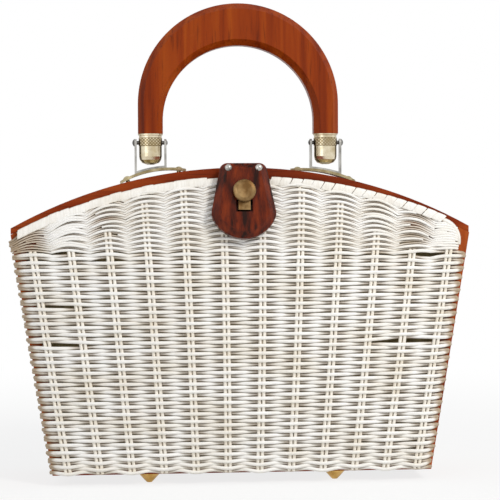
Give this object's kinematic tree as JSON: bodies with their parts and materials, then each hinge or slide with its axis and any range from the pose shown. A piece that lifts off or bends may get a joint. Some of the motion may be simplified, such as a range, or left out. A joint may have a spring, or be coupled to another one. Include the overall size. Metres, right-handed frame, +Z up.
{
  "type": "wicker handbag",
  "caption": "White wicker handbag with a wooden case, a hinged arched lid, a swinging wooden handle, a hanging flap and a brass turn catch.",
  "frame": {"origin": "centre of the whole object on the plane that the feet stand on", "axes": "+X to the right seen from the front, +Y to the back, +Z up; the front with the flap faces -Y"},
  "size_m": [0.3052, 0.1086, 0.322],
  "materials": {
    "case_wood": "stained and varnished, reddish brown",
    "handle_wood": "stained and varnished, orange brown",
    "flap_wood": "rosewood, polished",
    "white_cane": "painted warm white, satin",
    "lining_cloth": "plain khaki cloth",
    "brass": "pale, polished",
    "clasp_brass": "tarnished",
    "nickel": "nickel plated"
  },
  "bodies": {
    "case": {"back_rail": "case_wood", "back_wicker": "white_cane", "bottom_board": "case_wood", "case_hinge_screws": "nickel", "clasp_keeper": "clasp_brass", "foot_back_left": "brass", "foot_back_right": "brass", "foot_front_left": "brass", "foot_front_right": "brass", "front_rail": "case_wood", "front_wicker": "white_cane", "hinge_case_leaf_left": "brass", "hinge_case_leaf_right": "brass", "hinge_pin_left": "brass", "hinge_pin_right": "brass", "lining": "lining_cloth", "side_board_left": "case_wood", "side_board_right": "case_wood"},
    "lid": {"lid": "case_wood", "base_plate_left": "brass", "base_plate_right": "brass", "plate_rivets_left": "brass", "plate_rivets_right": "brass", "bail_left": "brass", "bail_right": "brass", "handle_pin_left": "nickel", "handle_pin_right": "nickel", "hinge_lid_leaf_left": "brass", "hinge_lid_leaf_right": "brass", "lid_hinge_screws": "nickel", "flap_hinge_lid_leaf": "brass", "flap_hinge_pin": "brass"},
    "handle": {"handle": "handle_wood", "ferrule_left": "brass", "ferrule_right": "brass"},
    "flap": {"flap": "flap_wood", "flap_hinge_leaf": "brass", "flap_rivet_left": "nickel", "flap_rivet_right": "nickel", "clasp_plate": "clasp_brass"},
    "knob": {"clasp_knob": "clasp_brass", "clasp_tongue": "clasp_brass"}
  },
  "joints": [
    {"name": "lid_hinge", "type": "hinge", "parent": "case", "child": "lid", "pos_m": [0, 0.04113, 0.202], "axis": [-1, 0, 0], "range_deg": [0, 90]},
    {"name": "handle_swing", "type": "hinge", "parent": "lid", "child": "handle", "pos_m": [0, 0.00435, 0.2276], "axis": [1, 0, 0], "range_deg": [-90, 90]},
    {"name": "flap_hinge", "type": "hinge", "parent": "lid", "child": "flap", "pos_m": [0, -0.03315, 0.2085], "axis": [-1, 0, 0], "range_deg": [0, 75]},
    {"name": "knob_turn", "type": "hinge", "parent": "flap", "child": "knob", "pos_m": [0, -0.03639, 0.19181], "axis": [0, 0.9816, -0.1908], "range_deg": [0, 90]}
  ]
}
